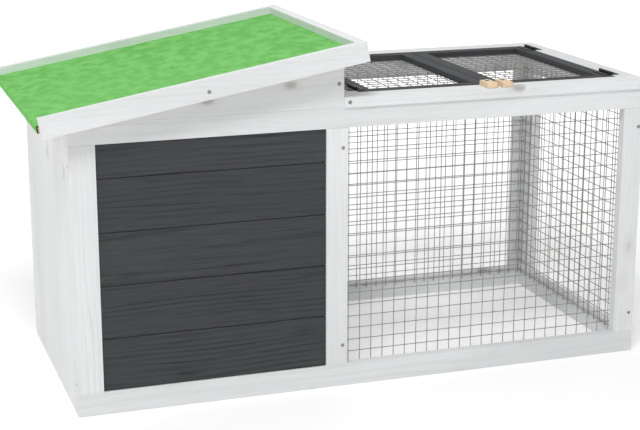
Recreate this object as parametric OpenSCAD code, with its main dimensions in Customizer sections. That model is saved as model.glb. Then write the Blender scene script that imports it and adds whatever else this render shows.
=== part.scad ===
// Rabbit hutch: a closed sleeping box under a sloping felted roof, beside a wire mesh run
// with two mesh doors in its top. Units are millimetres. X runs along the length, the front
// faces -Y, Z is up, and the origin is the middle of the footprint on the ground.

/* [Body] */
// Length of the front and back frames
body_l = 970; // [800:10:1200]
// Depth over the front and back frames
body_d = 432; // [340:4:560]
// Height of the frames
body_h = 464; // [380:4:600]
// Length of the sleeping box, to the far edge of the middle post
box_l = 443; // [360:1:520]

/* [Timber] */
// Thickness of the frame timber
board_t = 16; // [12:1:20]
// Width of the upright posts
post_w = 36; // [30:1:44]
// Height of the bottom rails
bottom_rail_h = 37; // [30:1:46]
// Height of the top rails
top_rail_h = 33; // [28:1:42]
// Thickness of the closed end wall
wall_t = 5; // [4:1:8]
// Number of cladding planks in one panel
plank_count = 5; // [3:1:6]
// Height that each whole cladding plank covers
plank_h = 85; // [70:1:90]
// Thickness of a cladding plank
plank_t = 10; // [8:1:12]
// How far the cladding is set back from the frame's face
plank_inset = 3; // [2:0.5:4]
// Thickness of the sleeping box floor
floor_t = 9; // [6:1:12]
// Height of the floor's underside above the ground
floor_z = 21; // [18:1:24]
// Width of the doorway between box and run
doorway_w = 170; // [140:5:200]
// Height of the doorway's straight sides above the floor
doorway_h = 130; // [100:5:160]

/* [Roof] */
// Slope of the roof in degrees
roof_slope = 10; // [6:1:14]
// Overhang of the roof past the low end wall, along the slope
eave_l = 42; // [30:1:50]
// Overhang of the roof past the box's high end, along the slope
ridge_l = 32; // [26:1:32]
// Overhang of the roof at the front and at the back
verge_l = 29; // [24:1:36]
// Thickness of the roof deck
deck_t = 9.5; // [8:0.5:12]
// Thickness of the roofing felt
felt_t = 2; // [1.5:0.5:3]
// Thickness of the fascia boards
fascia_t = 15; // [12:1:16]
// Height of the fascia boards
fascia_h = 31.5; // [28:0.5:36]
// How far the fascia boards hang below the deck
fascia_drop = 7.5; // [5:0.5:8]

/* [Run top] */
// Width of the boards around the doors
top_board_w = 38; // [34:1:42]
// Overhang of those boards past the frames
top_overhang = 3; // [2:1:4]
// Part of the box's end that carries the top boards
top_ledge = 7; // [5:1:8]
// Width of the door frame timber
door_rail_w = 24; // [20:1:28]
// Thickness of the door frame timber
door_t = 10; // [8:1:12]
// Gap around each door
door_gap = 1.5; // [1:0.5:3]

/* [Wire mesh] */
// Spacing of the wires
mesh_pitch = 20; // [15:1:25]
// Diameter of the wires
wire_d = 1.4; // [1:0.1:1.6]
// Overlap of the mesh on the rails
mesh_lap = 12; // [8:1:14]

/* [Turn buttons] */
// Width of a turn button
button_w = 18; // [16:1:19]
// Thickness of a turn button
button_t = 8; // [6:1:10]
// Length of a turn button from its screw to its long end
button_long = 24; // [20:1:26]
// Length of a turn button from its screw to its short end
button_short = 11; // [9:1:12]
// Distance between the two screws
button_spacing = 27.2; // [26:0.1:32]

/* [Hinges] */
// Length of a hinge
hinge_l = 40; // [30:1:50]
// Width of a hinge leaf from the pin's centre
leaf_w = 14; // [13:1:18]
// Thickness of a hinge leaf
leaf_t = 1.2; // [1:0.1:1.6]
// Radius of a hinge barrel
barrel_r = 2.8; // [2.4:0.1:3.2]
// Radius of a hinge pin
pin_r = 1.5; // [1.2:0.1:1.6]
// Distance from a door's corner to the middle of its hinge
hinge_inset = 36; // [30:1:60]

/* [Screws] */
// Radius of a frame screw's head
screw_head_r = 3.2; // [2.8:0.1:3.6]
// Radius of a frame screw's shank
screw_r = 1.7; // [1.4:0.1:2]
// Length of a frame screw
screw_l = 40; // [34:1:44]

/* [Hidden] */
$fn = 32;

// Clearances
eps = 0.01;
rest_gap = 0.3;     // between a moving piece and what it rests on
seat_gap = 0.05;    // between wires, and round a screw in its hole
pin_gap = 0.05;     // radial running clearance of a hinge pin
button_gap = 0.08;  // radial running clearance of a turn button on its screw
knuckle_gap = 0.4;  // between neighbouring hinge knuckles

// Levels and lines that several pieces share
opening_h = body_h - bottom_rail_h - top_rail_h;
box_inner_x = box_l - board_t;
gable_l = box_l - top_ledge;
inner_y = board_t;
inner_depth = body_d - 2 * board_t;
side_x = body_l - board_t;
top_z = body_h + board_t;
slope_tan = tan(roof_slope);

// Roof outline along the slope, measured from the top of the low end wall
roof_high = gable_l / cos(roof_slope) + ridge_l;
deck_high = roof_high - fascia_t;
deck_low = -eave_l - felt_t;
felt_low = deck_low - felt_t;
roof_depth = body_d + 2 * verge_l;
deck_depth = roof_depth - 2 * fascia_t;

// Outer box, from which the origin is worked out
low_x = felt_low * cos(roof_slope) - (rest_gap + deck_t + felt_t) * sin(roof_slope);
high_x = body_l + top_overhang;
mid_x = (low_x + high_x) / 2;
mid_y = body_d / 2;

// Opening in the run's top and the two doors in it
door_low_x = gable_l + top_board_w;
door_high_x = high_x - top_board_w;
door_front_y = top_board_w - top_overhang;
door_back_y = body_d - door_front_y;
joint_x = (door_low_x + door_high_x) / 2;
door_w = joint_x - door_low_x - 1.5 * door_gap;
door_d = door_back_y - door_front_y - 2 * door_gap;
door_z = top_z - door_t;

// Hinges: the pin's centre stands this far off the faces that the leaves lie on
pin_off = barrel_r + rest_gap;
left_pin_x = door_low_x + door_gap / 2;
right_pin_x = door_high_x - door_gap / 2;
door_pin_z = top_z + pin_off;
door_hinge_ys = [door_front_y + hinge_inset, door_back_y - hinge_inset];
roof_pin_x = -pin_off;
roof_pin_z = body_h - pin_off * slope_tan - (pin_off - rest_gap) / cos(roof_slope);
roof_hinge_ys = [body_d / 4, body_d * 3 / 4];
knuckle_l = hinge_l / 3;
hinge_screw_r = 1.1;
hinge_screw_l = 6;
hinge_head_r = 2.2;
hinge_head_t = 0.8;
hinge_screw_off = (pin_off + leaf_w) / 2 + 0.5;
hinge_screw_ys = [-hinge_l / 4, hinge_l / 4];

// Turn buttons stand on the front board
button_y = door_front_y - button_w / 2 - 2.7;
button_z = top_z + rest_gap;
button_corner_r = 2.5;
button_screw_r = 2;
button_head_r = 3.6;
button_head_t = 1.8;
button_screw_l = 13;

// Length of a block that the doors rest on
rest_l = 42;

// Screws
screw_head_t = 1.5;
low_screw_z = 70;
high_screw_z = 399;
wall_screw_y = 10;
wall_low_screw_z = 51;
gable_screw_z = body_h + 38;
top_screw_z = body_h + board_t / 2;
end_post_x = body_l - board_t / 2;
partition_x = box_l - board_t / 2;
high_wall_x = gable_l - board_t / 2;

// Cladding joints
tongue_t = 3;
tongue_l = 5;
groove_gap = 0.3;
plank_edge = 1.5;
plank_gap = 0.3;

// Everything is drawn from the front left corner of the body and moved to the origin here
module placed() {
  translate([-mid_x, -mid_y, 0]) children();
}

module board(at, size) {
  translate(at) cube(size);
}

// A copy of the children at the front and one mirrored to the back
module front_and_back() {
  children();
  at_back() children();
}

module at_back() {
  translate([0, body_d, 0]) mirror([0, 1, 0]) children();
}

// ---- Screws ---------------------------------------------------------------

// A screw along +Z: its head's top is at the origin and it points to -Z
module screw_body(r, head_r, head_t, length, gap) {
  translate([0, 0, -head_t - gap]) cylinder(r = head_r + gap, h = head_t + gap + eps * sign(gap));
  translate([0, 0, -length - gap]) cylinder(r = r + gap, h = length - head_t + eps);
}

module frame_screw(gap) {
  screw_body(screw_r, screw_head_r, screw_head_t, screw_l, gap);
}

// Screws seen on the front: through the posts, the gable and the ends of the top board
module front_screw_set(gap) {
  for (x = [partition_x, end_post_x], z = [low_screw_z, high_screw_z])
    translate([x, 0, z]) rotate([90, 0, 0]) frame_screw(gap);
  translate([high_wall_x, 0, gable_screw_z]) rotate([90, 0, 0]) frame_screw(gap);
}

module top_screw_set(gap) {
  for (x = [gable_l + 9, high_x - 9])
    translate([x, -top_overhang, top_screw_z]) rotate([90, 0, 0])
      screw_body(screw_r, screw_head_r, screw_head_t, screw_l + 10, gap);
}

module wall_screw_set(gap) {
  for (y = [wall_screw_y, body_d - wall_screw_y], z = [wall_low_screw_z, high_screw_z])
    translate([0, y, z]) rotate([0, -90, 0]) screw_body(screw_r, screw_head_r, screw_head_t, 30, gap);
}

module frame_screw_set(gap) {
  front_and_back() {
    front_screw_set(gap);
    top_screw_set(gap);
  }
}

module frame_screws() {
  color("gray") placed() frame_screw_set(0);
}

module wall_screws() {
  color("gray") placed() wall_screw_set(0);
}

// A white timber with the holes of the screws that pass through it
module timber(at, size) {
  color("whitesmoke") placed() difference() {
    board(at, size);
    frame_screw_set(seat_gap);
    wall_screw_set(seat_gap);
  }
}

// ---- Front, back and side frames --------------------------------------------

module long_rail(y, z, h) {
  timber([0, y, z], [body_l, board_t, h]);
}

module upright(x, y, w) {
  timber([x, y, bottom_rail_h], [w, board_t, opening_h]);
}

module front_bottom_rail() {
  long_rail(0, 0, bottom_rail_h);
}

module front_top_rail() {
  long_rail(0, body_h - top_rail_h, top_rail_h);
}

module front_left_stile() {
  upright(wall_t, 0, post_w);
}

module front_mid_post() {
  upright(box_l - post_w, 0, post_w);
}

module front_right_stile() {
  upright(body_l - post_w, 0, post_w);
}

module back_bottom_rail() {
  long_rail(body_d - board_t, 0, bottom_rail_h);
}

module back_top_rail() {
  long_rail(body_d - board_t, body_h - top_rail_h, top_rail_h);
}

module back_left_stile() {
  upright(wall_t, body_d - board_t, post_w);
}

module back_mid_post() {
  upright(box_l - post_w, body_d - board_t, post_w);
}

module back_right_stile() {
  upright(body_l - post_w, body_d - board_t, post_w);
}

module side_bottom_rail() {
  timber([side_x, inner_y, 0], [board_t, inner_depth, bottom_rail_h]);
}

module side_top_rail() {
  timber([side_x, inner_y, body_h - top_rail_h], [board_t, inner_depth, top_rail_h]);
}

module side_stile(y) {
  timber([side_x, y, bottom_rail_h], [board_t, post_w, opening_h]);
}

module side_front_stile() {
  side_stile(inner_y);
}

module side_back_stile() {
  side_stile(body_d - board_t - post_w);
}

// ---- Cladding -----------------------------------------------------------------

// Upright section of one plank: tongue on top, groove below, both visible edges bevelled
module plank_profile(h, top_tongue, bottom_groove) {
  mid = plank_t / 2;
  difference() {
    union() {
      polygon([
        [0, plank_edge], [plank_edge, 0], [plank_t, 0],
        [plank_t, h], [plank_edge, h], [0, h - plank_edge]
      ]);
      if (top_tongue)
        translate([mid - tongue_t / 2, h - eps]) square([tongue_t, tongue_l]);
    }
    if (bottom_groove)
      translate([mid - tongue_t / 2 - groove_gap, -eps])
        square([tongue_t + 2 * groove_gap, tongue_l + groove_gap]);
  }
}

// Plank number i from the bottom, in the opening between stile and middle post
module plank(i) {
  is_top = i == plank_count - 1;
  h = is_top ? opening_h - i * plank_h : plank_h - plank_gap;
  translate([wall_t + post_w, plank_inset, bottom_rail_h + i * plank_h])
    rotate([90, 0, 90])
      linear_extrude(box_l - 2 * post_w - wall_t)
        plank_profile(h, !is_top, i > 0);
}

module front_plank(i) {
  color("dimgray") placed() plank(i);
}

module back_planks() {
  color("dimgray") placed() at_back() for (i = [0 : plank_count - 1]) plank(i);
}

// ---- Sleeping box ------------------------------------------------------------

module low_end_wall() {
  color("whitesmoke") placed() difference() {
    board([0, 0, 0], [wall_t, body_d, body_h]);
    front_and_back() {
      board([-eps, -eps, -eps], [wall_t + 2 * eps, board_t + eps, bottom_rail_h + eps]);
      board([-eps, -eps, body_h - top_rail_h], [wall_t + 2 * eps, board_t + eps, top_rail_h + eps]);
    }
    wall_screw_set(seat_gap);
    at_roof_hinges() wall_leaf_pose() hinge_screw_set(seat_gap);
  }
}

// The gable starts a little way in, where it is thick enough to be sawn
module gable() {
  tip = 10;
  difference() {
    translate([0, board_t, 0]) rotate([90, 0, 0]) linear_extrude(board_t) polygon([
      [tip, body_h], [gable_l, body_h],
      [gable_l, body_h + gable_l * slope_tan], [tip, body_h + tip * slope_tan]
    ]);
    front_screw_set(seat_gap);
  }
}

module front_gable() {
  color("whitesmoke") placed() gable();
}

module back_gable() {
  color("whitesmoke") placed() at_back() gable();
}

module high_end_wall() {
  low = gable_l - board_t;
  color("whitesmoke") placed() difference() {
    translate([0, body_d - board_t, 0]) rotate([90, 0, 0]) linear_extrude(inner_depth) polygon([
      [low, body_h], [gable_l, body_h],
      [gable_l, body_h + gable_l * slope_tan], [low, body_h + low * slope_tan]
    ]);
    front_and_back() front_screw_set(seat_gap);
  }
}

// An arched doorway lets the animal walk from the box to the run
module doorway() {
  r = doorway_w / 2;
  translate([-doorway_w / 2, 0]) square([doorway_w, doorway_h]);
  translate([0, doorway_h]) intersection() {
    circle(r = r, $fn = 64);
    translate([-r, -eps]) square([2 * r, r]);
  }
}

module partition_wall() {
  color("whitesmoke") placed() difference() {
    board([box_inner_x, inner_y, 0], [board_t, inner_depth, body_h]);
    translate([box_inner_x - eps, mid_y, floor_z + floor_t]) rotate([90, 0, 90])
      linear_extrude(board_t + 2 * eps) doorway();
    frame_screw_set(seat_gap);
  }
}

module floor_panel() {
  color("burlywood") placed()
    board([wall_t, inner_y, floor_z], [box_inner_x - wall_t, inner_depth, floor_t]);
}

module floor_battens() {
  color("burlywood") placed() front_and_back()
    board([wall_t, inner_y, 0], [box_inner_x - wall_t, board_t, floor_z]);
}

// ---- Wire mesh ---------------------------------------------------------------

// Welded mesh flat in XY, lying on z = 0: wires along Y touch it and wires along X lie over them
module wire_mesh(w, h, first_x, first_y) {
  r = wire_d / 2;
  for (x = [first_x : mesh_pitch : w - r])
    translate([x, 0, seat_gap + r]) rotate([-90, 0, 0]) cylinder(r = r, h = h);
  for (y = [first_y : mesh_pitch : h - r])
    translate([0, y, 2 * seat_gap + 3 * r]) rotate([0, 90, 0]) cylinder(r = r, h = w);
}

mesh_depth = 2 * (wire_d + seat_gap) + seat_gap;
mesh_z = bottom_rail_h - mesh_lap;
mesh_h = opening_h + 2 * mesh_lap;
mesh_x = box_l + rest_gap;
mesh_w = side_x - mesh_x - rest_gap;
mesh_first = 7;

module long_mesh() {
  translate([mesh_x, inner_y, mesh_z]) mirror([0, 1, 0]) rotate([90, 0, 0])
    wire_mesh(mesh_w, mesh_h, mesh_first, mesh_first);
}

module front_mesh() {
  color("silver") placed() long_mesh();
}

module back_mesh() {
  color("silver") placed() at_back() long_mesh();
}

module side_mesh() {
  side_w = inner_depth - 2 * (mesh_depth + rest_gap);
  color("silver") placed()
    translate([side_x, inner_y + mesh_depth + rest_gap, mesh_z])
      mirror([1, 0, 0]) rotate([90, 0, 90])
        wire_mesh(side_w, mesh_h, mesh_first, mesh_first);
}

// ---- Top of the run -------------------------------------------------------------

module at_turn_button_screws() {
  for (side = [-1, 1])
    translate([joint_x + side * button_spacing / 2, button_y, button_z + button_t + rest_gap])
      children();
}

module button_screw(gap) {
  translate([0, 0, -button_screw_l - button_t]) cylinder(r = button_screw_r + gap,
    h = button_screw_l + button_t + eps);
}

module turn_button_screws() {
  color("goldenrod") placed() at_turn_button_screws() {
    union() {
      button_screw(0);
      cylinder(r = button_head_r, h = button_head_t);
    }
  }
}

module top_front_board() {
  color("whitesmoke") placed() difference() {
    board([gable_l, -top_overhang, body_h], [high_x - gable_l, top_board_w, board_t]);
    top_screw_set(seat_gap);
    at_turn_button_screws() button_screw(seat_gap);
  }
}

module top_back_board() {
  color("whitesmoke") placed() at_back() difference() {
    board([gable_l, -top_overhang, body_h], [high_x - gable_l, top_board_w, board_t]);
    top_screw_set(seat_gap);
  }
}

module top_side_board(x) {
  color("whitesmoke") placed() difference() {
    board([x, door_front_y, body_h], [top_board_w, door_back_y - door_front_y, board_t]);
    front_and_back() top_screw_set(seat_gap);
    door_hinge_screws(-1, seat_gap);
    door_hinge_screws(1, seat_gap);
  }
}

module top_left_board() {
  top_side_board(gable_l);
}

module top_right_board() {
  top_side_board(door_high_x);
}

// Rebated blocks behind the front and back rails under the joint, on which both doors rest
module door_rest_blocks() {
  rest_w = door_rail_w;
  rest_top = door_z - rest_gap;
  color("whitesmoke") placed() front_and_back() {
    board([joint_x - rest_w / 2, inner_y, body_h - board_t], [rest_w, rest_l, board_t]);
    board([joint_x - rest_w / 2, door_front_y + rest_gap, body_h - eps],
      [rest_w, inner_y + rest_l - door_front_y - rest_gap, rest_top - body_h + eps]);
  }
}

// ---- Doors in the top -------------------------------------------------------------

// side is -1 for the left door and 1 for the right one; each door lies flat on the opening
module at_door(side) {
  x = side < 0 ? door_low_x + door_gap : joint_x + door_gap / 2;
  translate([x, door_front_y + door_gap, door_z]) children();
}

module door_long_rails(side) {
  color("dimgray") placed() difference() {
    at_door(side)
      for (y = [0, door_d - door_rail_w]) board([0, y, 0], [door_w, door_rail_w, door_t]);
    door_hinge_screws(side, seat_gap);
  }
}

module door_end_rails(side) {
  color("dimgray") placed() difference() {
    at_door(side) for (x = [0, door_w - door_rail_w])
      board([x, door_rail_w, 0], [door_rail_w, door_d - 2 * door_rail_w, door_t]);
    door_hinge_screws(side, seat_gap);
  }
}

module door_mesh(side) {
  lap = door_rail_w / 2;
  w = door_w - 2 * lap - 1;
  d = door_d - 2 * lap - 1;
  color("silver") placed() at_door(side) translate([(door_w - w) / 2, (door_d - d) / 2, 0])
    mirror([0, 0, 1]) wire_mesh(w, d, mesh_first + 2, mesh_first + 2);
}

module left_door_long_rails() {
  door_long_rails(-1);
}

module left_door_end_rails() {
  door_end_rails(-1);
}

module left_door_mesh() {
  door_mesh(-1);
}

module right_door_long_rails() {
  door_long_rails(1);
}

module right_door_end_rails() {
  door_end_rails(1);
}

module right_door_mesh() {
  door_mesh(1);
}

// ---- Hinges ---------------------------------------------------------------------

// One leaf, drawn about its pin along Y and lying on the plane z = -pin_off towards +X.
// inner is true for the leaf with the single middle knuckle.
module hinge_leaf(inner) {
  span = inner ? [-knuckle_l / 2, knuckle_l / 2] : [-hinge_l / 2, hinge_l / 2];
  root_w = barrel_r + rest_gap;
  difference() {
    union() {
      board([root_w, -hinge_l / 2, -pin_off], [leaf_w - root_w, hinge_l, leaf_t]);
      board([0, span[0], -pin_off], [root_w + eps, span[1] - span[0], leaf_t]);
      translate([0, span[0], 0]) rotate([-90, 0, 0]) cylinder(r = barrel_r, h = span[1] - span[0]);
    }
    translate([0, -hinge_l, 0]) rotate([-90, 0, 0]) cylinder(r = pin_r + pin_gap, h = 2 * hinge_l);
    if (!inner)
      board([-root_w, -knuckle_l / 2 - knuckle_gap, -pin_off - 1],
        [2 * root_w, knuckle_l + 2 * knuckle_gap, 2 * pin_off + 2]);
    hinge_screw_set(seat_gap);
  }
}

// The two screws of one leaf, in the same place and pose as hinge_leaf
module hinge_screw_set(gap) {
  for (y = hinge_screw_ys)
    translate([hinge_screw_off, y, -pin_off + leaf_t + hinge_head_t])
      screw_body(hinge_screw_r, hinge_head_r, hinge_head_t, hinge_screw_l, gap);
}

module hinge_pin() {
  translate([0, -hinge_l / 2, 0]) rotate([-90, 0, 0]) cylinder(r = pin_r, h = hinge_l);
}

// Puts children at each door hinge. to_door turns the leaf from the frame to the door.
module at_door_hinges(side, to_door) {
  x = side < 0 ? left_pin_x : right_pin_x;
  turned = to_door ? side > 0 : side < 0;
  for (y = door_hinge_ys)
    translate([x, y, door_pin_z]) mirror([turned ? 1 : 0, 0, 0]) children();
}

// Screw holes of both leaves of both hinges on one side
module door_hinge_screws(side, gap) {
  at_door_hinges(side, true) hinge_screw_set(gap);
  at_door_hinges(side, false) hinge_screw_set(gap);
}

module frame_hinge_leaves() {
  color("dimgray") placed() for (side = [-1, 1]) at_door_hinges(side, false) {
    hinge_leaf(false);
    hinge_screw_set(0);
  }
}

module door_hinge_leaves(side) {
  color("dimgray") placed() at_door_hinges(side, true) {
    hinge_leaf(true);
    hinge_screw_set(0);
  }
}

module left_door_hinge_leaves() {
  door_hinge_leaves(-1);
}

module right_door_hinge_leaves() {
  door_hinge_leaves(1);
}

module door_hinge_pins() {
  color("gray") placed() for (side = [-1, 1]) at_door_hinges(side, false) hinge_pin();
}

// The roof's hinges lie out of sight in the corner under the eave: one leaf on the end wall
// and one under the deck
module at_roof_hinges() {
  for (y = roof_hinge_ys) translate([roof_pin_x, y, roof_pin_z]) children();
}

module wall_leaf_pose() {
  mirror([1, 0, 0]) rotate([0, 90, 0]) children();
}

module deck_leaf_pose() {
  rotate([0, 180 - roof_slope, 0]) children();
}

module roof_hinge_wall_leaves() {
  color("dimgray") placed() at_roof_hinges() wall_leaf_pose() {
    hinge_leaf(false);
    hinge_screw_set(0);
  }
}

module roof_hinge_deck_leaves() {
  color("dimgray") placed() at_roof_hinges() deck_leaf_pose() {
    hinge_leaf(true);
    hinge_screw_set(0);
  }
}

module roof_hinge_pins() {
  color("gray") placed() at_roof_hinges() hinge_pin();
}

// ---- Turn buttons ----------------------------------------------------------------

// Drawn turned off the doors, with its long end over the front edge
module turn_button(side) {
  r = button_corner_r;
  color("wheat") placed() translate([joint_x + side * button_spacing / 2, button_y, button_z])
    rotate([0, 0, -90]) difference() {
      linear_extrude(button_t) union() {
        translate([-button_short + r, -button_w / 2])
          square([button_short + button_long - 2 * r, button_w]);
        translate([-button_short, -button_w / 2 + r])
          square([button_short + button_long, button_w - 2 * r]);
        for (x = [-button_short + r, button_long - r], y = [-1, 1])
          translate([x, y * (button_w / 2 - r)]) circle(r = r);
      }
      translate([0, 0, -1]) cylinder(r = button_screw_r + button_gap, h = button_t + 2);
    }
}

module left_turn_button() {
  turn_button(-1);
}

module right_turn_button() {
  turn_button(1);
}

// ---- Roof ------------------------------------------------------------------------

// Local frame of the roof: X up the slope from the top of the low end wall, Z square to it
module on_slope() {
  translate([0, 0, body_h]) rotate([0, -roof_slope, 0]) translate([0, 0, rest_gap]) children();
}

// Screws through the fascias into the edges of the deck
module roof_screw_set(gap) {
  mid = (deck_low + roof_high) / 2;
  for (back = [0, 1])
    translate([0, back * body_d, 0]) mirror([0, back, 0])
      translate([mid, -verge_l, deck_t / 2]) rotate([90, 0, 0]) frame_screw(gap);
  for (y = [body_d / 4, body_d * 3 / 4])
    translate([roof_high, y, deck_t / 2]) rotate([0, 90, 0]) frame_screw(gap);
}

module roof_deck() {
  color("whitesmoke") placed() difference() {
    on_slope() difference() {
      board([deck_low, fascia_t - verge_l, 0], [deck_high - deck_low, deck_depth, deck_t]);
      roof_screw_set(seat_gap);
    }
    at_roof_hinges() deck_leaf_pose() hinge_screw_set(seat_gap);
  }
}

// Felt over the deck, turned down over the low edge
module roof_felt() {
  color("lightgreen") placed() on_slope() {
    translate([0, fascia_t - verge_l + deck_depth, 0]) rotate([90, 0, 0]) linear_extrude(deck_depth)
      polygon([
        [felt_low, 0], [deck_low, 0], [deck_low, deck_t], [deck_high, deck_t],
        [deck_high, deck_t + felt_t], [felt_low, deck_t + felt_t]
      ]);
  }
}

module fascia(at, length, along_y) {
  size = along_y ? [fascia_t, length, fascia_h] : [length, fascia_t, fascia_h];
  color("whitesmoke") placed() on_slope() difference() {
    board(at, size);
    roof_screw_set(seat_gap);
  }
}

module front_fascia() {
  fascia([-eave_l, -verge_l, -fascia_drop], roof_high + eave_l, false);
}

module back_fascia() {
  fascia([-eave_l, body_d + verge_l - fascia_t, -fascia_drop], roof_high + eave_l, false);
}

module high_fascia() {
  fascia([deck_high, fascia_t - verge_l, -fascia_drop], deck_depth, true);
}

module roof_screws() {
  color("gray") placed() on_slope() roof_screw_set(0);
}

front_bottom_rail();
front_top_rail();
front_left_stile();
front_mid_post();
front_right_stile();
front_plank(0);  // front_plank_1
front_plank(1);  // front_plank_2
front_plank(2);  // front_plank_3
front_plank(3);  // front_plank_4
front_plank(4);  // front_plank_5
front_gable();
back_gable();
high_end_wall();
low_end_wall();
partition_wall();
floor_panel();
floor_battens();
back_bottom_rail();
back_top_rail();
back_left_stile();
back_mid_post();
back_right_stile();
back_planks();
side_bottom_rail();
side_top_rail();
side_front_stile();
side_back_stile();
front_mesh();
back_mesh();
side_mesh();
top_front_board();
top_back_board();
top_left_board();
top_right_board();
door_rest_blocks();
left_door_long_rails();
left_door_end_rails();
left_door_mesh();
right_door_long_rails();
right_door_end_rails();
right_door_mesh();
frame_hinge_leaves();
left_door_hinge_leaves();
right_door_hinge_leaves();
door_hinge_pins();
left_turn_button();
right_turn_button();
turn_button_screws();
roof_deck();
roof_felt();
front_fascia();
back_fascia();
high_fascia();
roof_hinge_wall_leaves();
roof_hinge_deck_leaves();
roof_hinge_pins();
frame_screws();
wall_screws();
roof_screws();
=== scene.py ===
import math
import random

import bmesh
import bpy
from mathutils import Matrix, Vector

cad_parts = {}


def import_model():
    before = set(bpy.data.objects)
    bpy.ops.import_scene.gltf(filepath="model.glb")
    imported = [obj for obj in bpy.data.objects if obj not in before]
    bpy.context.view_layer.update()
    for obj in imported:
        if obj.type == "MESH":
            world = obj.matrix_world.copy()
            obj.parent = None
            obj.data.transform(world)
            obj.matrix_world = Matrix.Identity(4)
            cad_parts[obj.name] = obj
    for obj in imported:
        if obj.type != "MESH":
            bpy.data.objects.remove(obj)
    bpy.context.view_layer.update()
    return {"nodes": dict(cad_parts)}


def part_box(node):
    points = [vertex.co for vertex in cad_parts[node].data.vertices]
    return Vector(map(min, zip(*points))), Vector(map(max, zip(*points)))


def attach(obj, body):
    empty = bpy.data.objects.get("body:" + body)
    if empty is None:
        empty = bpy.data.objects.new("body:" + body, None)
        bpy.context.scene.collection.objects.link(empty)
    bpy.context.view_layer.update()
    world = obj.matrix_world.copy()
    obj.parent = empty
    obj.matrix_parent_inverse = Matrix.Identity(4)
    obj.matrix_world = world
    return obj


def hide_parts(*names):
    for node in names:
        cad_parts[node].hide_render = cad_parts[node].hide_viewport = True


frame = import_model()
NODES = frame["nodes"]
RNG = random.Random(20)

# The hutch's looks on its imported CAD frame: materials, eased edges, screw heads and staples, and then the
# white studio with the photograph's camera. Lengths are in metres.


# ---- Shader helpers ------------------------------------------------------------------


def fill(tree, node, inputs):
    """Links a node's inputs to other nodes' outputs, or gives them plain values. Returns its outputs."""
    for key, value in inputs.items():
        if hasattr(value, "is_output"):
            tree.links.new(value, node.inputs[key])
        else:
            node.inputs[key].default_value = value
    return node.outputs


class Shader:
    """A principled material whose colour, roughness and relief are built up by short calls."""

    def __init__(self, name):
        self.mat = bpy.data.materials.new(name)
        self.mat.use_nodes = True
        self.tree = self.mat.node_tree
        self.tree.nodes.clear()
        self.bsdf = self.tree.nodes.new("ShaderNodeBsdfPrincipled")
        output = self.tree.nodes.new("ShaderNodeOutputMaterial")
        fill(self.tree, output, {"Surface": self.bsdf.outputs[0]})
        self.coords = self.tree.nodes.new("ShaderNodeTexCoord").outputs

    def add(self, kind, inputs):
        """A new node's outputs, with its inputs filled."""
        return fill(self.tree, self.tree.nodes.new(kind), inputs)

    def surface(self, inputs):
        """Fills inputs of the principled shader itself."""
        fill(self.tree, self.bsdf, inputs)

    def mapping(self, vector, location=(0, 0, 0), rotation=(0, 0, 0), scale=(1, 1, 1)):
        """Coordinates moved, turned and stretched."""
        inputs = {"Vector": vector, "Location": location, "Rotation": rotation, "Scale": scale}
        return self.add("ShaderNodeMapping", inputs)[0]

    def noise(self, vector, scale, detail=3.0, rough=0.55):
        """Cloudy noise, as the outputs Fac and Color."""
        inputs = {"Vector": vector, "Scale": scale, "Detail": detail, "Roughness": rough}
        return self.add("ShaderNodeTexNoise", inputs)

    def voronoi(self, vector, scale):
        """Cells, as the outputs Distance and Color."""
        return self.add("ShaderNodeTexVoronoi", {"Vector": vector, "Scale": scale})

    def rings(self, vector, scale, distortion):
        """Rings round the X axis, as growth rings lie round a trunk."""
        node = self.tree.nodes.new("ShaderNodeTexWave")
        node.wave_type = "RINGS"
        node.rings_direction = "X"
        inputs = {
            "Vector": vector,
            "Scale": scale,
            "Distortion": distortion,
            "Detail": 2.0,
            "Detail Scale": 1.5,
        }
        return fill(self.tree, node, inputs)["Fac"]

    def math(self, operation, a, b=0.0, clamp=False):
        node = self.tree.nodes.new("ShaderNodeMath")
        node.operation = operation
        node.use_clamp = clamp
        return fill(self.tree, node, {0: a, 1: b})[0]

    def plus(self, a, b, clamp=False):
        return self.math("ADD", a, b, clamp)

    def times(self, a, b):
        return self.math("MULTIPLY", a, b)

    def vector(self, operation, a, b):
        node = self.tree.nodes.new("ShaderNodeVectorMath")
        node.operation = operation
        return fill(self.tree, node, {0: a, 1: b})

    def ramp(self, value, low, high, out_low=0.0, out_high=1.0):
        """A smooth step from out_low to out_high while the value goes from low to high."""
        node = self.tree.nodes.new("ShaderNodeMapRange")
        node.interpolation_type = "SMOOTHSTEP"
        inputs = {"Value": value, "From Min": low, "From Max": high, "To Min": out_low, "To Max": out_high}
        return fill(self.tree, node, inputs)["Result"]

    def mix(self, factor, a, b):
        """Colour a where the factor is 0 and colour b where it is 1."""
        node = self.tree.nodes.new("ShaderNodeMix")
        node.data_type = "RGBA"
        return fill(self.tree, node, {0: factor, 6: a, 7: b})[2]

    def split(self, vector):
        """The three parts of a vector or colour."""
        return self.add("ShaderNodeSeparateXYZ", {0: vector})

    def wander(self, vector, stretch, amount):
        """Coordinates pushed aside by soft noise, so that straight lines in them sway."""
        push = self.noise(self.mapping(vector, scale=stretch), 1.0, 2.0)["Color"]
        push = self.vector("SUBTRACT", push, (0.5, 0.5, 0.5))[0]
        push = self.vector("MULTIPLY", push, (amount, amount, amount))[0]
        return self.vector("ADD", vector, push)[0]

    def bump(self, height, distance, strength):
        relief = self.add("ShaderNodeBump", {"Strength": strength, "Distance": distance, "Height": height})
        self.surface({"Normal": relief[0]})

    def colour(self, value):
        self.surface({"Base Color": value})

    def rough(self, value):
        self.surface({"Roughness": value})


def rgb(r, g, b):
    return (r, g, b, 1.0)


def shade(colour, factor):
    """The colour made lighter or darker."""
    return rgb(*[min(1.0, c * factor) for c in colour[:3]])


# ---- Timber --------------------------------------------------------------------------

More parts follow.
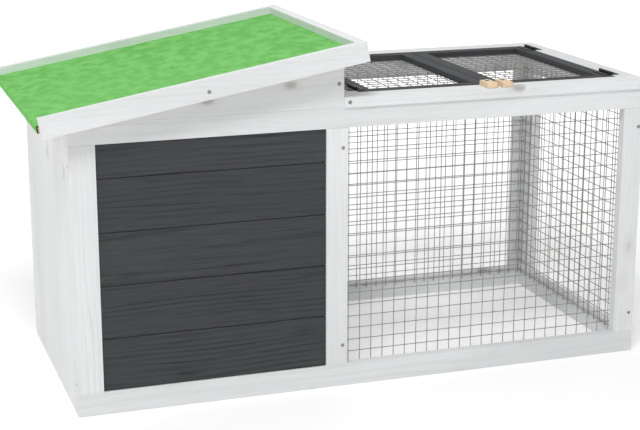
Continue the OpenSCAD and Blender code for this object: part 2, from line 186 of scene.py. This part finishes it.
WHITE = rgb(0.775, 0.792, 0.798)
WHITE_STREAK = rgb(0.60, 0.60, 0.59)
WHITE_KNOT = rgb(0.34, 0.32, 0.29)
DARK = rgb(0.044, 0.046, 0.050)
DARK_STREAK = rgb(0.020, 0.021, 0.023)
DARK_KNOT = rgb(0.018, 0.018, 0.019)
PINE = rgb(0.80, 0.62, 0.42)
PINE_STREAK = rgb(0.62, 0.40, 0.21)
PINE_KNOT = rgb(0.22, 0.11, 0.05)
PLY = rgb(0.62, 0.47, 0.31)
PLY_STREAK = rgb(0.50, 0.34, 0.19)

# Turns the grain, which is made along X, to the board's own axis.
GRAIN_TURN = {"X": (0, 0, 0), "Y": (0, 0, math.radians(-90)), "Z": (0, math.radians(90), 0)}

# How often each pattern repeats in a metre, along the grain and twice across it.
SWAY = (1.6, 10, 10)
BLOTCHES = (2.2, 9, 9)
PATCHES = (3.5, 26, 26)
FIBRES = (9, 420, 420)
KNOTS = (15, 26, 26)

GRAIN_RELIEF = 0.0006


def growth_rings(look, place, swaying):
    """Late wood of the growth rings, strong in some patches and faint in others."""
    ring = look.ramp(look.rings(look.mapping(swaying, scale=(0.15, 1, 1)), 42.0, 0.8), 0.55, 1.0)
    patch = look.noise(look.mapping(place, scale=PATCHES), 1.0, 3.0)["Fac"]
    return look.times(ring, look.ramp(patch, 0.38, 0.68, 0.15, 1.0))


def fibres(look, swaying):
    """Fine dark hairs along the grain."""
    hair = look.noise(look.mapping(swaying, scale=FIBRES), 1.0, 4.0, 0.65)["Fac"]
    return look.ramp(hair, 0.42, 0.78)


def knot_masks(look, place, chance):
    """Cores and soft surrounds of knots, in the given share of the cells."""
    cell = look.voronoi(look.mapping(place, scale=KNOTS), 1.0)
    chosen = look.ramp(look.split(cell["Color"])[0], 1.0 - chance, 1.02 - chance)
    core = look.times(look.ramp(cell["Distance"], 0.09, 0.25, 1.0, 0.0), chosen)
    halo = look.times(look.ramp(cell["Distance"], 0.16, 0.50, 1.0, 0.0), chosen)
    return core, halo


def wood(name, axis, colours, rings, fibre, knots, rough, bump=0.35, chance=0.10):
    """Softwood with its grain along axis. The colours are of its body, its streaks and its knots."""
    base, streak, knot = colours
    look = Shader(name)
    offset = tuple(RNG.uniform(-3, 3) for _ in range(3))
    place = look.mapping(look.coords["Object"], rotation=GRAIN_TURN[axis])
    place = look.mapping(place, location=offset)
    swaying = look.wander(place, SWAY, 0.03)
    ring = growth_rings(look, place, swaying)
    hair = fibres(look, swaying)
    core, halo = knot_masks(look, place, chance)
    blotch = look.noise(look.mapping(place, scale=BLOTCHES), 1.0, 3.0)["Fac"]

    streaks = look.plus(look.times(ring, rings), look.times(hair, fibre))
    streaks = look.plus(streaks, look.times(halo, 0.35 * knots), clamp=True)
    body = look.mix(look.ramp(blotch, 0.3, 0.7), shade(base, 0.95), shade(base, 1.05))
    body = look.mix(streaks, body, streak)
    look.colour(look.mix(look.times(core, 0.75 * knots), body, knot))
    look.rough(look.ramp(look.plus(hair, ring), 0.0, 1.6, rough - 0.06, rough + 0.14))

    depth = look.plus(look.times(ring, 0.5), look.times(hair, 0.6))
    depth = look.plus(depth, look.times(core, 0.6))
    look.bump(look.math("SUBTRACT", 1.0, depth), GRAIN_RELIEF, bump)
    return look.mat


def white_wood(name, axis):
    """Boards under a thin white stain. Each board has its own tone."""
    colours = (shade(WHITE, RNG.uniform(0.975, 1.02)), WHITE_STREAK, WHITE_KNOT)
    return wood(name, axis, colours, rings=0.22, fibre=0.30, knots=0.9, rough=0.62, chance=0.17)


def dark_wood(name, axis):
    """Boards and door rails under a dark grey stain. Each board has its own tone."""
    colours = (shade(DARK, RNG.uniform(0.93, 1.08)), DARK_STREAK, DARK_KNOT)
    return wood(name, axis, colours, rings=0.42, fibre=0.62, knots=0.5, rough=0.78, bump=0.6)


def bare_wood(name, axis):
    """Unpainted pine."""
    return wood(name, axis, (PINE, PINE_STREAK, PINE_KNOT), rings=0.45, fibre=0.3, knots=0.5, rough=0.6)


def plywood(name, axis):
    """Unpainted sheet of the roof and the floor."""
    return wood(name, axis, (PLY, PLY_STREAK, PINE_KNOT), rings=0.3, fibre=0.5, knots=0.0, rough=0.7)


def painted_panel(name, axis):
    """Thin white panel with a weaker grain than the boards."""
    return wood(name, axis, (WHITE, WHITE_STREAK, WHITE_KNOT), rings=0.16, fibre=0.30, knots=0.5, rough=0.6)


# ---- Felt, wire and steel ------------------------------------------------------------


def felt(name):
    """Roofing felt: green mineral chips on bitumen, black where the sheet is cut."""
    look = Shader(name)
    place = look.coords["Object"]
    cloud = look.noise(look.mapping(place, scale=(1.5, 1, 1)), 34.0, 5.0, 0.62)["Fac"]
    drift = look.noise(place, 5.0, 2.0)["Fac"]
    chip = look.noise(place, 900.0, 2.0, 0.7)["Fac"]
    grain = look.voronoi(place, 1400.0)["Distance"]
    green = look.mix(look.ramp(cloud, 0.38, 0.62), rgb(0.125, 0.450, 0.088), rgb(0.205, 0.575, 0.150))
    green = look.mix(look.ramp(drift, 0.3, 0.7, 0.0, 0.35), green, rgb(0.18, 0.52, 0.14))
    green = look.mix(look.ramp(chip, 0.52, 0.75, 0.0, 0.5), green, rgb(0.30, 0.66, 0.23))
    green = look.mix(look.ramp(chip, 0.46, 0.28, 0.0, 0.5), green, rgb(0.075, 0.30, 0.05))
    facing = look.split(look.coords["Normal"])
    edge = look.ramp(look.math("ABSOLUTE", facing[1]), 0.6, 0.8)
    under = look.ramp(facing[2], -0.3, -0.6)
    look.colour(look.mix(look.math("MAXIMUM", edge, under), green, rgb(0.012, 0.012, 0.013)))
    look.rough(look.ramp(cloud, 0.2, 0.8, 0.86, 0.97))
    look.bump(look.plus(look.times(grain, 0.5), look.times(cloud, 1.4)), 0.0008, 0.45)
    look.surface({"Specular IOR Level": 0.25})
    return look.mat


def wire(name):
    """Galvanised wire with its dull spangle."""
    look = Shader(name)
    place = look.coords["Object"]
    spangle = look.noise(place, 700.0, 2.0)["Fac"]
    drift = look.noise(place, 9.0, 2.0)["Fac"]
    grey = look.mix(look.ramp(spangle, 0.35, 0.65), rgb(0.27, 0.265, 0.255), rgb(0.35, 0.345, 0.335))
    look.colour(look.mix(look.ramp(drift, 0.4, 0.7, 0.0, 0.4), grey, rgb(0.22, 0.21, 0.20)))
    look.surface({"Metallic": 0.3})
    look.rough(look.ramp(spangle, 0.3, 0.7, 0.38, 0.58))
    look.bump(spangle, 0.0001, 0.3)
    return look.mat


def metal(name, light, dark, metallic, rough):
    """Plated or painted hardware with fine scuffs."""
    look = Shader(name)
    place = look.coords["Object"]
    scuff = look.noise(look.mapping(place, scale=(1, 5, 1)), 420.0, 4.0, 0.7)["Fac"]
    tarnish = look.noise(place, 90.0, 3.0)["Fac"]
    worn = look.mix(look.ramp(tarnish, 0.35, 0.7), light, dark)
    look.colour(look.mix(look.ramp(scuff, 0.55, 0.75, 0.0, 0.35), worn, shade(light, 1.4)))
    look.surface({"Metallic": metallic})
    look.rough(look.ramp(scuff, 0.3, 0.7, rough - 0.08, rough + 0.12))
    look.bump(scuff, 0.0001, 0.25)
    return look.mat


HINGE_BLACK = metal("hinge_black", rgb(0.022, 0.022, 0.024), rgb(0.012, 0.012, 0.013), 0.3, 0.42)
ZINC = metal("screw_zinc", rgb(0.46, 0.45, 0.42), rgb(0.30, 0.29, 0.27), 0.85, 0.38)
WIRE = wire("galvanised_wire")
FELT = felt("mineral_felt")


# ---- Which piece gets which finish ---------------------------------------------------

# Where the grain is given one by one. On every other timber piece it runs along the longest side.
GRAIN = {
    "low_end_wall": "Z",
    "partition_wall": "Y",
    "high_end_wall": "Y",
    "left_door_long_rails": "X",
    "left_door_end_rails": "Y",
    "right_door_long_rails": "X",
    "right_door_end_rails": "Y",
    "floor_battens": "X",
    "back_planks": "X",
    "high_fascia": "Y",
}

BOARD_ARRIS = 0.0007
BUTTON_ARRIS = 0.0012


def long_axis(node):
    """The axis of a node's longest side."""
    lo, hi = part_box(node)
    sizes = [hi[i] - lo[i] for i in range(3)]
    return "XYZ"[sizes.index(max(sizes))]


def is_timber(node):
    return not (node.endswith(("_mesh", "_screws")) or "hinge" in node or node == "roof_felt")


def timber_finish(node):
    """The paint, stain or bare wood of a timber piece, in a material of its own."""
    name = node + "_finish"
    axis = GRAIN.get(node) or long_axis(node)
    if "plank" in node or node.endswith("_rails"):
        return dark_wood(name, axis)
    if node == "low_end_wall":
        return painted_panel(name, axis)
    if node in ("roof_deck", "floor_panel"):
        return plywood(name, axis)
    if node == "floor_battens" or "turn_button" in node:
        return bare_wood(name, axis)
    return white_wood(name, axis)


def finish_for(node):
    """The material of any CAD piece."""
    if is_timber(node):
        return timber_finish(node)
    if node == "roof_felt":
        return FELT
    if node.endswith("_mesh"):
        return WIRE
    return HINGE_BLACK if "hinge" in node else ZINC


def soften(obj, width):
    """Eases the arrises of a sawn board. The flat faces are made whole first, so the bevel runs clean."""
    weld = obj.modifiers.new("weld", "WELD")
    weld.merge_threshold = 0.00001
    plane = obj.modifiers.new("plane", "DECIMATE")
    plane.decimate_type = "DISSOLVE"
    plane.angle_limit = math.radians(1)
    bevel = obj.modifiers.new("arris", "BEVEL")
    bevel.width = width
    bevel.segments = 2
    bevel.limit_method = "ANGLE"
    bevel.angle_limit = math.radians(40)
    bevel.use_clamp_overlap = True
    bevel.loop_slide = False
    normals = obj.modifiers.new("flat_faces", "WEIGHTED_NORMAL")
    normals.weight = 90
    normals.keep_sharp = False


def dress_nodes():
    """Gives every CAD piece its material, and every timber piece its eased edges."""
    for node in sorted(NODES):
        obj = NODES[node]
        obj.data.materials.clear()
        obj.data.materials.append(finish_for(node))
        if is_timber(node):
            soften(obj, BUTTON_ARRIS if "turn_button" in node else BOARD_ARRIS)


# ---- Mesh helpers --------------------------------------------------------------------


def circle(radius, height, steps):
    """Points of a circle round the Z axis."""
    turns = [2 * math.pi * i / steps for i in range(steps)]
    return [Vector((radius * math.cos(a), radius * math.sin(a), height)) for a in turns]


def add_loop(bm, place, points):
    """New vertices at the points, moved to their place."""
    return [bm.verts.new(place @ Vector(point)) for point in points]


def skin(bm, loops):
    """A band of faces between each closed loop of vertices and the next."""
    for low, high in zip(loops, loops[1:]):
        for i in range(len(low)):
            j = (i + 1) % len(low)
            bm.faces.new((low[i], low[j], high[j], high[i]))


def new_object(name, bm):
    """An object in the scene from a bmesh, which is used up."""
    mesh = bpy.data.meshes.new(name)
    bm.to_mesh(mesh)
    bm.free()
    obj = bpy.data.objects.new(name, mesh)
    bpy.context.scene.collection.objects.link(obj)
    return obj


def steel_piece(name, bm, body):
    """A zinc-plated visual piece that moves with its body."""
    bmesh.ops.recalc_face_normals(bm, faces=bm.faces)
    piece = new_object(name, bm)
    piece.data.materials.append(ZINC)
    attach(piece, body)
    return piece


# ---- Screws with a cross recess ------------------------------------------------------

# A screw's shape, in head radii from the head's face.
HEAD_RIM = ((1.0, -0.22), (0.97, -0.10), (0.90, 0.0))
RECESS_MOUTH = (0.56, 0.12)
RECESS_BED = (0.26, 0.07)
RECESS_DEPTH = 0.5
SHANK = 0.42
NECK = 0.9
POINT = 0.5
# The thread's root and the tip, as parts of the shank's radius.
THREAD_ROOT = 0.78
TIP = 0.05
# Coarser than a real thread, because the threads are hidden in the timber.
THREAD_PITCH = 0.0022
# How near to an end of a plain screw a point counts as part of its rim.
RIM_BAND = 0.0002
HEAD_STEPS = 28
SHANK_STEPS = 14

# The nodes of plain screws, with the body that each rides on.
SCREW_NODES = {
    "frame_screws": "body",
    "wall_screws": "body",
    "roof_screws": "roof",
    "turn_button_screws": "body",
}


def corner(vertex):
    """A vertex's place, rounded so that doubled vertices agree."""
    return tuple(round(c, 6) for c in vertex.co)


def islands(obj):
    """The points of each separate solid in a node."""
    vertices = obj.data.vertices
    points = {}
    for vertex in vertices:
        points.setdefault(corner(vertex), vertex.co.copy())
    parent = {key: key for key in points}

    def root(key):
        while parent[key] != key:
            parent[key] = parent[parent[key]]
            key = parent[key]
        return key

    for edge in obj.data.edges:
        start, end = (root(corner(vertices[i])) for i in edge.vertices)
        parent[start] = end
    groups = {}
    for key, point in points.items():
        groups.setdefault(root(key), []).append(point)
    return sorted(groups.values(), key=lambda group: tuple(group[0]))


def screw_pose(points):
    """Centre of a plain screw's head, outward direction, head radius and length."""
    lo = Vector([min(p[i] for p in points) for i in range(3)])
    hi = Vector([max(p[i] for p in points) for i in range(3)])
    size = hi - lo
    longest = max(range(3), key=lambda i: size[i])
    axis = Vector([1.0 if i == longest else 0.0 for i in range(3)])
    ends = []
    for sign in (1, -1):
        face = max(sign * p.dot(axis) for p in points)
        rim = [p for p in points if sign * p.dot(axis) > face - RIM_BAND]
        middle = sum(rim, Vector()) / len(rim)
        ends.append((max((p - middle).length for p in rim), sign, middle))
    radius, sign, middle = max(ends, key=lambda end: end[0])
    return middle, axis * sign, radius, size[longest]


def cross_outline(arm, half):
    """Corner points of a cross recess, counted round: arm is its reach, half is half a slot's width."""
    points = []
    for quarter in range(4):
        angle = quarter * math.pi / 2
        cos, sin = math.cos(angle), math.sin(angle)
        for x, y in ((arm, -half), (arm, half), (half, half)):
            points.append((x * cos - y * sin, x * sin + y * cos))
    return points


def add_head(bm, place, radius):
    """A countersunk head: domed rim, flat face and a cross recess that narrows as it goes down."""
    rims = [add_loop(bm, place, circle(radius * r, radius * z, HEAD_STEPS)) for r, z in HEAD_RIM]
    skin(bm, rims)
    mouth = add_loop(bm, place, [(x * radius, y * radius, 0) for x, y in cross_outline(*RECESS_MOUTH)])
    low = -RECESS_DEPTH * radius
    bed = add_loop(bm, place, [(x * radius, y * radius, low) for x, y in cross_outline(*RECESS_BED)])
    skin(bm, [mouth, bed])
    bm.faces.new(bed)
    edges = []
    for loop in (rims[-1], mouth):
        edges += [bm.edges.get((loop[i - 1], loop[i])) for i in range(len(loop))]
    bmesh.ops.triangle_fill(bm, use_beauty=True, edges=edges)


def add_shank(bm, place, radius, length):
    """The countersunk neck, the threads and the point."""
    shank = radius * SHANK
    profile = [(radius, HEAD_RIM[0][1] * radius), (shank, -NECK * radius)]
    threads = max(3, int(length / THREAD_PITCH))
    threaded = length - (NECK + POINT) * radius
    for i in range(threads):
        depth = NECK * radius + threaded * (i + 0.5) / threads
        profile.append((shank * (1.0 if i % 2 else THREAD_ROOT), -depth))
    profile.append((shank * TIP, -length))
    loops = [add_loop(bm, place, circle(r, z, SHANK_STEPS)) for r, z in profile]
    skin(bm, loops)
    bm.faces.new(loops[-1])


def screws(node, body):
    """Replaces a node of plain countersunk screws by detailed ones, each turned its own way."""
    bm = bmesh.new()
    for points in islands(NODES[node]):
        middle, out, radius, length = screw_pose(points)
        turn = Matrix.Rotation(RNG.uniform(0, math.pi), 4, "Z")
        place = Matrix.Translation(middle) @ out.to_track_quat("Z", "Y").to_matrix().to_4x4() @ turn
        add_head(bm, place, radius)
        add_shank(bm, place, radius, length)
    piece = steel_piece(node + "_detail", bm, body)
    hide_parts(node)


# ---- Staples that hold the wire inside the frames ------------------------------------

STAPLE_WIDTH = 0.009
STAPLE_GAUGE = 0.0009
STAPLE_LEG = 0.002
STAPLE_SIDES = 6
SHOULDER_STEPS = 4

# How far in from a mesh's edge its staples are, and how far from its corner a row of them starts.
RAIL_INSET = 0.006
POST_INSET = 0.012
DOOR_INSET = 0.005
RAIL_START = 0.01
POST_START = 0.02

# How many staples are in a row.
RAIL_STAPLES = 7
POST_STAPLES = 5
DOOR_END_STAPLES = 3
DOOR_SIDE_STAPLES = 5


def staple_path():
    """A staple's centre line: a leg, a rounded shoulder and their mirror image."""
    half = STAPLE_WIDTH / 2
    rise = STAPLE_GAUGE * 1.2
    path = [Vector((-half, 0, -STAPLE_LEG))]
    for k in range(SHOULDER_STEPS + 1):
        angle = math.pi / 2 * k / SHOULDER_STEPS
        path.append(Vector((-half + rise - rise * math.cos(angle), 0, rise * math.sin(angle))))
    return path + [Vector((-p.x, 0, p.z)) for p in reversed(path)]


def add_staple(bm, place):
    """A bent round wire over a mesh wire, with both legs going into the timber."""
    path = staple_path()
    side = Vector((0, 1, 0))
    turns = [2 * math.pi * k / STAPLE_SIDES for k in range(STAPLE_SIDES)]
    loops = []
    for i, point in enumerate(path):
        along = (path[min(i + 1, len(path) - 1)] - path[max(i - 1, 0)]).normalized()
        out = along.cross(side)
        ring = [point + (side * math.cos(t) + out * math.sin(t)) * STAPLE_GAUGE / 2 for t in turns]
        loops.append(add_loop(bm, place, ring))
    skin(bm, loops)


def staples(name, body, spots):
    """A piece of many staples. Each spot is a position, the way out of the timber and the staple's length."""
    bm = bmesh.new()
    for position, out, along in spots:
        z = Vector(out)
        x = Vector(along)
        turn = Matrix((x, z.cross(x), z)).transposed().to_4x4()
        add_staple(bm, Matrix.Translation(Vector(position)) @ turn)
    steel_piece(name, bm, body)


def spread(low, high, count):
    """Places shared evenly over a stretch, half a step in from its ends."""
    return [low + (high - low) * (i + 0.5) / count for i in range(count)]


def run_staples():
    """Staples on the rails and posts round the run's front, back and end meshes."""
    spots = []
    for mesh_node, out_y in (("front_mesh", 1.0), ("back_mesh", -1.0)):
        lo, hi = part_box(mesh_node)
        y = hi[1] if out_y > 0 else lo[1]
        out = (0, out_y, 0)
        for x in spread(lo[0] + RAIL_START, hi[0] - RAIL_START, RAIL_STAPLES):
            for z in (lo[2] + RAIL_INSET, hi[2] - RAIL_INSET):
                spots.append(((x, y, z), out, (1, 0, 0)))
        for z in spread(lo[2] + POST_START, hi[2] - POST_START, POST_STAPLES):
            spots.append(((hi[0] - POST_INSET, y, z), out, (0, 0, 1)))
    lo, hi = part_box("side_mesh")
    for y in spread(lo[1] + POST_START, hi[1] - POST_START, POST_STAPLES):
        for z in (lo[2] + RAIL_INSET, hi[2] - RAIL_INSET):
            spots.append(((lo[0], y, z), (-1, 0, 0), (0, 1, 0)))
    staples("run_staples", "body", spots)


def door_staples(side):
    """Staples under the four rails of a door."""
    lo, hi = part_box(side + "_door_mesh")
    spots = []
    for x in spread(lo[0], hi[0], DOOR_END_STAPLES):
        for y in (lo[1] + DOOR_INSET, hi[1] - DOOR_INSET):
            spots.append(((x, y, lo[2]), (0, 0, -1), (1, 0, 0)))
    for y in spread(lo[1], hi[1], DOOR_SIDE_STAPLES):
        for x in (lo[0] + DOOR_INSET, hi[0] - DOOR_INSET):
            spots.append(((x, y, lo[2]), (0, 0, -1), (0, 1, 0)))
    staples(side + "_door_staples", side + "_door", spots)


# ---- Studio, light and camera --------------------------------------------------------

FLOOR_HALF = 12.0
FLOOR_DROP = 0.0006
GLOW_NEAR = 0.32
GLOW_FAR = 0.85

# The camera as fitted to the photograph's perspective.
LENS_MM = 87.15
SENSOR_MM = 36.0
CAMERA_PLACE = (-0.8278, -2.4689, 0.9210)
CAMERA_DOWN = 14.795
CAMERA_TURN = -18.664

# Name, place, size and watts of each softbox, all aimed at the middle of the hutch.
SOFTBOXES = (
    ("key", (-0.9, -1.8, 3.25), 0.9, 60),
    ("left", (-2.6, -0.3, 1.8), 1.6, 13),
    ("back", (0.8, 2.4, 2.2), 2.0, 15),
)
AIM = (0, 0, 0.25)


def floor():
    """White paper that glows more towards its far parts, so that only the hutch's shadow shows on it."""
    bm = bmesh.new()
    bmesh.ops.create_grid(bm, x_segments=4, y_segments=4, size=FLOOR_HALF)
    obj = new_object("studio_floor", bm)
    obj.location.z = -FLOOR_DROP
    look = Shader("studio_floor")
    look.colour(rgb(0.74, 0.74, 0.74))
    look.rough(0.9)
    away = look.vector("LENGTH", look.coords["Object"], (0, 0, 0))["Value"]
    glow = look.ramp(away, 0.7, 3.2, GLOW_NEAR, GLOW_FAR)
    look.surface({"Emission Color": rgb(1, 1, 1), "Emission Strength": glow})
    obj.data.materials.append(look.mat)


def world(light, seen):
    """White surroundings: as bright as seen to the camera, and a softer light that is stronger from above."""
    surroundings = bpy.data.worlds.new("studio")
    surroundings.use_nodes = True
    tree = surroundings.node_tree
    path = tree.nodes.new("ShaderNodeLightPath").outputs
    place = tree.nodes.new("ShaderNodeTexCoord").outputs
    axes = fill(tree, tree.nodes.new("ShaderNodeSeparateXYZ"), {0: place["Generated"]})
    rise = {
        "Value": axes["Z"],
        "From Min": 0.0,
        "From Max": 0.8,
        "To Min": light * 0.62,
        "To Max": light * 1.15,
    }
    sky = fill(tree, tree.nodes.new("ShaderNodeMapRange"), rise)["Result"]
    span = fill(tree, tree.nodes.new("ShaderNodeMix"), {0: path["Is Camera Ray"], 2: sky, 3: seen})
    fill(tree, tree.nodes["Background"], {"Color": rgb(1, 1, 1), "Strength": span[0]})
    bpy.context.scene.world = surroundings


def softbox(name, location, size, power):
    """A square area light that lights the hutch but isn't seen."""
    data = bpy.data.lights.new(name, "AREA")
    data.shape = "SQUARE"
    data.size = size
    data.energy = power
    obj = bpy.data.objects.new(name, data)
    obj.location = location
    aim = Vector(AIM) - Vector(location)
    obj.rotation_euler = aim.to_track_quat("-Z", "Y").to_euler()
    obj.visible_camera = False
    bpy.context.scene.collection.objects.link(obj)


def camera():
    """The photograph's view."""
    data = bpy.data.cameras.new("camera")
    data.sensor_width = SENSOR_MM
    data.lens = LENS_MM
    obj = bpy.data.objects.new("camera", data)
    obj.location = CAMERA_PLACE
    obj.rotation_euler = (math.radians(90 - CAMERA_DOWN), 0, math.radians(CAMERA_TURN))
    bpy.context.scene.collection.objects.link(obj)
    bpy.context.scene.camera = obj


# ---- The scene -----------------------------------------------------------------------

dress_nodes()
for node in sorted(SCREW_NODES):
    screws(node, SCREW_NODES[node])
run_staples()
door_staples("left")
door_staples("right")

floor()
world(light=0.47, seen=1.0)
for box in SOFTBOXES:
    softbox(*box)
camera()
bpy.context.scene.view_settings.view_transform = "Standard"
